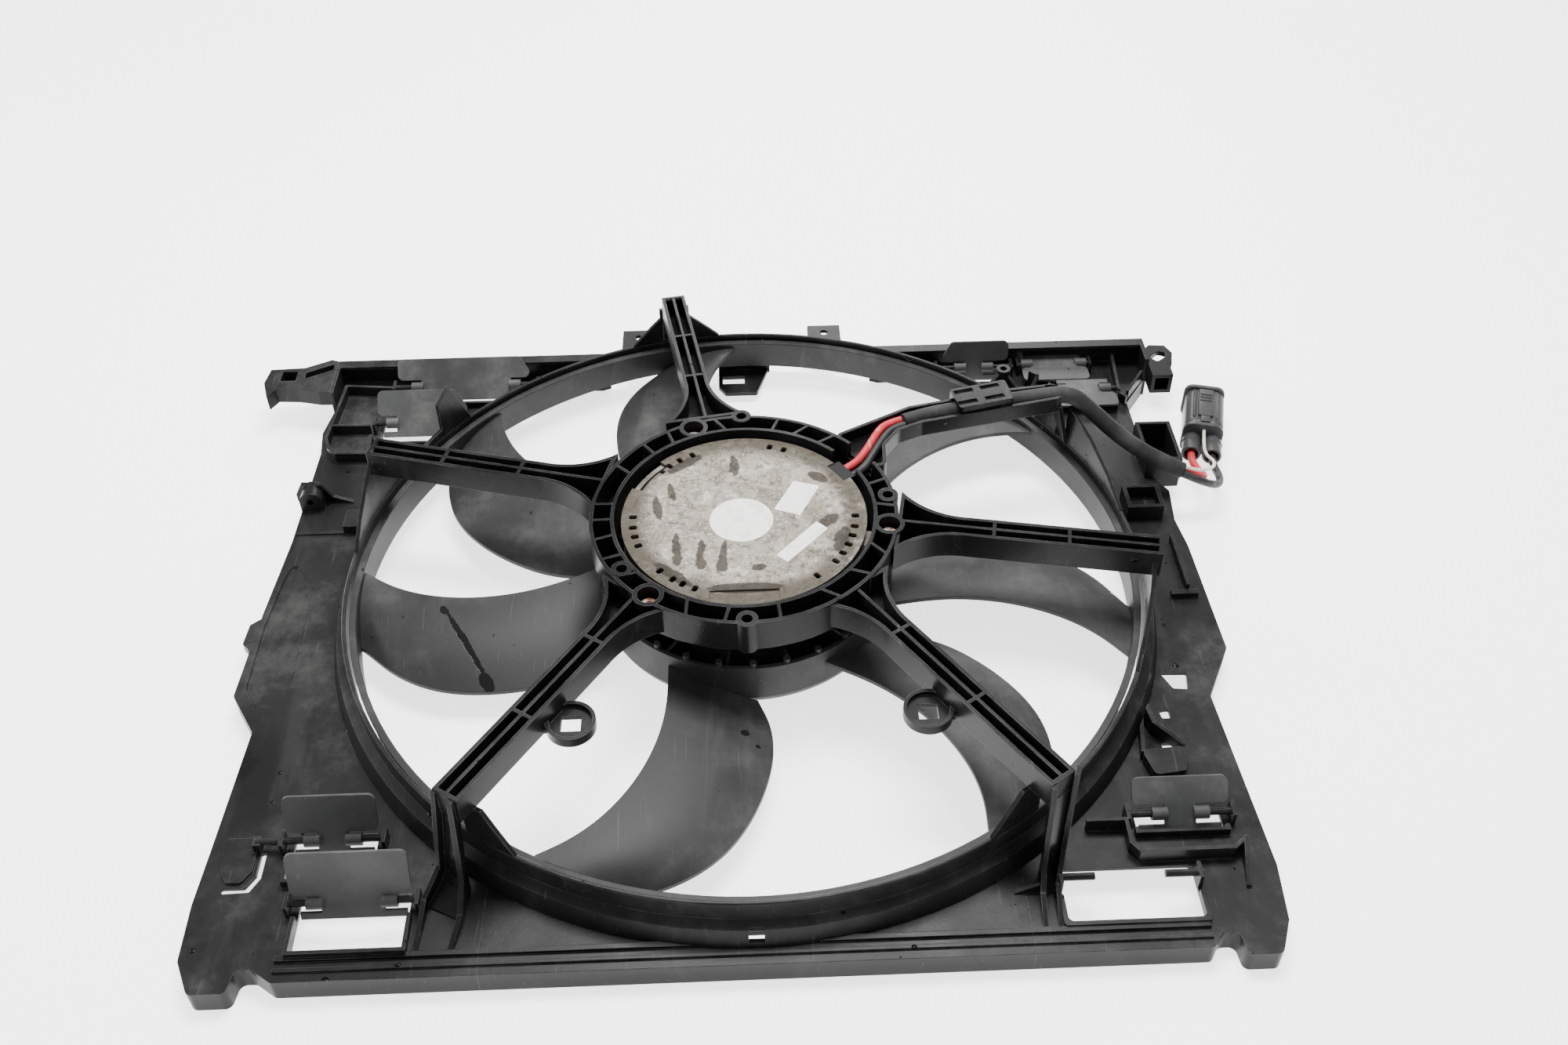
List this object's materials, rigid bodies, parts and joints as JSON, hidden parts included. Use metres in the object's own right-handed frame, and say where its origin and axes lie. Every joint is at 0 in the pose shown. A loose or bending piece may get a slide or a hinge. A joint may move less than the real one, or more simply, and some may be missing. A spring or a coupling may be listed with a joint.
{
  "type": "condenser fan assembly",
  "caption": "Flat moulded fan shroud with a ring duct, hinged air flaps, a motor carried on struts over a ringed sickle-bladed fan, and a short harness with a plug.",
  "frame": {"origin": "middle of the shroud's plan outline, in the plane of its core face", "axes": "+Z along the fan's axis from the core face to the motor, +X towards the harness side, +Y towards the edge with the two bolt tabs"},
  "size_m": [0.6874, 0.529, 0.087],
  "materials": {
    "shroud_plastic": "glass-filled nylon, moulded, slight sheen",
    "fan_plastic": "satin moulded",
    "flap_plastic": "satin moulded, dusty",
    "motor_alloy": "die cast, dull",
    "cover_steel": "plated sheet, dirty",
    "seal_rubber": "moulded",
    "circuit_board": "solder resist",
    "board_part_plastic": "moulded",
    "bearing_steel": "ground",
    "core_steel": "phosphated",
    "coil_copper": "enamelled wire",
    "screw_steel": "plated, rusty",
    "label_film": "blank printed film, worn",
    "connector_plastic": "moulded",
    "sheath_rubber": "extruded",
    "red_insulation": "faded insulation",
    "black_insulation": "insulation",
    "white_insulation": "insulation",
    "magnet_ferrite": "ferrite"
  },
  "bodies": {
    "shroud": {"shroud_ring": "shroud_plastic", "shroud_left_panel": "shroud_plastic", "shroud_right_panel": "shroud_plastic", "shroud_bottom_rail": "shroud_plastic", "left_arm": "shroud_plastic", "right_ear": "shroud_plastic", "upper_dock": "shroud_plastic", "lower_dock": "shroud_plastic", "motor_carrier_ring": "shroud_plastic", "strut_top": "shroud_plastic", "strut_upper_left": "shroud_plastic", "strut_lower_left": "shroud_plastic", "strut_lower_right": "shroud_plastic", "strut_right": "shroud_plastic", "cable_strut": "shroud_plastic", "cable_clip": "shroud_plastic", "motor_housing": "motor_alloy", "motor_cover": "cover_steel", "lead_grommet": "seal_rubber", "control_board": "circuit_board", "board_components": "board_part_plastic", "bearing_lower": "bearing_steel", "bearing_upper": "bearing_steel", "stator_core": "core_steel", "stator_coils": "coil_copper", "motor_screws": "screw_steel", "label_round": "label_film", "label_upper": "label_film", "label_lower": "label_film", "connector": "connector_plastic", "sheath_held": "sheath_rubber", "sheath_free": "sheath_rubber", "lead_red_motor": "red_insulation", "lead_red_tail": "red_insulation", "lead_black_motor": "black_insulation", "lead_black_tail": "black_insulation", "lead_signal_tail": "white_insulation"},
    "fan": {"fan_hub": "fan_plastic", "fan_ring": "fan_plastic", "fan_blade_1": "fan_plastic", "fan_blade_2": "fan_plastic", "fan_blade_3": "fan_plastic", "fan_blade_4": "fan_plastic", "fan_blade_5": "fan_plastic", "fan_blade_6": "fan_plastic", "fan_blade_7": "fan_plastic", "rotor_bell": "core_steel", "rotor_magnets": "magnet_ferrite", "motor_shaft": "bearing_steel", "hub_screws": "screw_steel"},
    "flap_top_left_outer_body": {"flap_top_left_outer": "flap_plastic"},
    "flap_top_left_inner_body": {"flap_top_left_inner": "flap_plastic"},
    "flap_top_right_inner_body": {"flap_top_right_inner": "flap_plastic"},
    "flap_top_right_outer_body": {"flap_top_right_outer": "flap_plastic"},
    "flap_right_upper_body": {"flap_right_upper": "flap_plastic"},
    "flap_bottom_left_upper_body": {"flap_bottom_left_upper": "flap_plastic"},
    "flap_bottom_left_lower_body": {"flap_bottom_left_lower": "flap_plastic"},
    "flap_bottom_right_body": {"flap_bottom_right": "flap_plastic"}
  },
  "joints": [
    {"name": "fan_spin", "type": "hinge", "parent": "shroud", "child": "fan", "pos_m": [0.012, 0.0025, 0.03], "axis": [0, 0, 1], "continuous": true},
    {"name": "flap_top_left_outer_hinge", "type": "hinge", "parent": "shroud", "child": "flap_top_left_outer_body", "pos_m": [-0.1865, 0.217, 0.021], "axis": [1, 0, 0], "range_deg": [0, 130]},
    {"name": "flap_top_left_inner_hinge", "type": "hinge", "parent": "shroud", "child": "flap_top_left_inner_body", "pos_m": [-0.2105, 0.176, 0.021], "axis": [1, 0, 0], "range_deg": [0, 130]},
    {"name": "flap_top_right_inner_hinge", "type": "hinge", "parent": "shroud", "child": "flap_top_right_inner_body", "pos_m": [0.183, 0.222, 0.021], "axis": [1, 0, 0], "range_deg": [0, 105]},
    {"name": "flap_top_right_outer_hinge", "type": "hinge", "parent": "shroud", "child": "flap_top_right_outer_body", "pos_m": [0.242, 0.2233, 0.021], "axis": [1, 0, 0], "range_deg": [-100, 0]},
    {"name": "flap_right_upper_hinge", "type": "hinge", "parent": "shroud", "child": "flap_right_upper_body", "pos_m": [0.259, 0.192, 0.021], "axis": [1, 0, 0], "range_deg": [-100, 0]},
    {"name": "flap_bottom_left_upper_hinge", "type": "hinge", "parent": "shroud", "child": "flap_bottom_left_upper_body", "pos_m": [-0.2114, -0.179, 0.021], "axis": [1, 0, 0], "range_deg": [0, 112]},
    {"name": "flap_bottom_left_lower_hinge", "type": "hinge", "parent": "shroud", "child": "flap_bottom_left_lower_body", "pos_m": [-0.1948, -0.218, 0.021], "axis": [1, 0, 0], "range_deg": [0, 108]},
    {"name": "flap_bottom_right_hinge", "type": "hinge", "parent": "shroud", "child": "flap_bottom_right_body", "pos_m": [0.2415, -0.1815, 0.021], "axis": [1, 0, 0], "range_deg": [0, 130]}
  ]
}
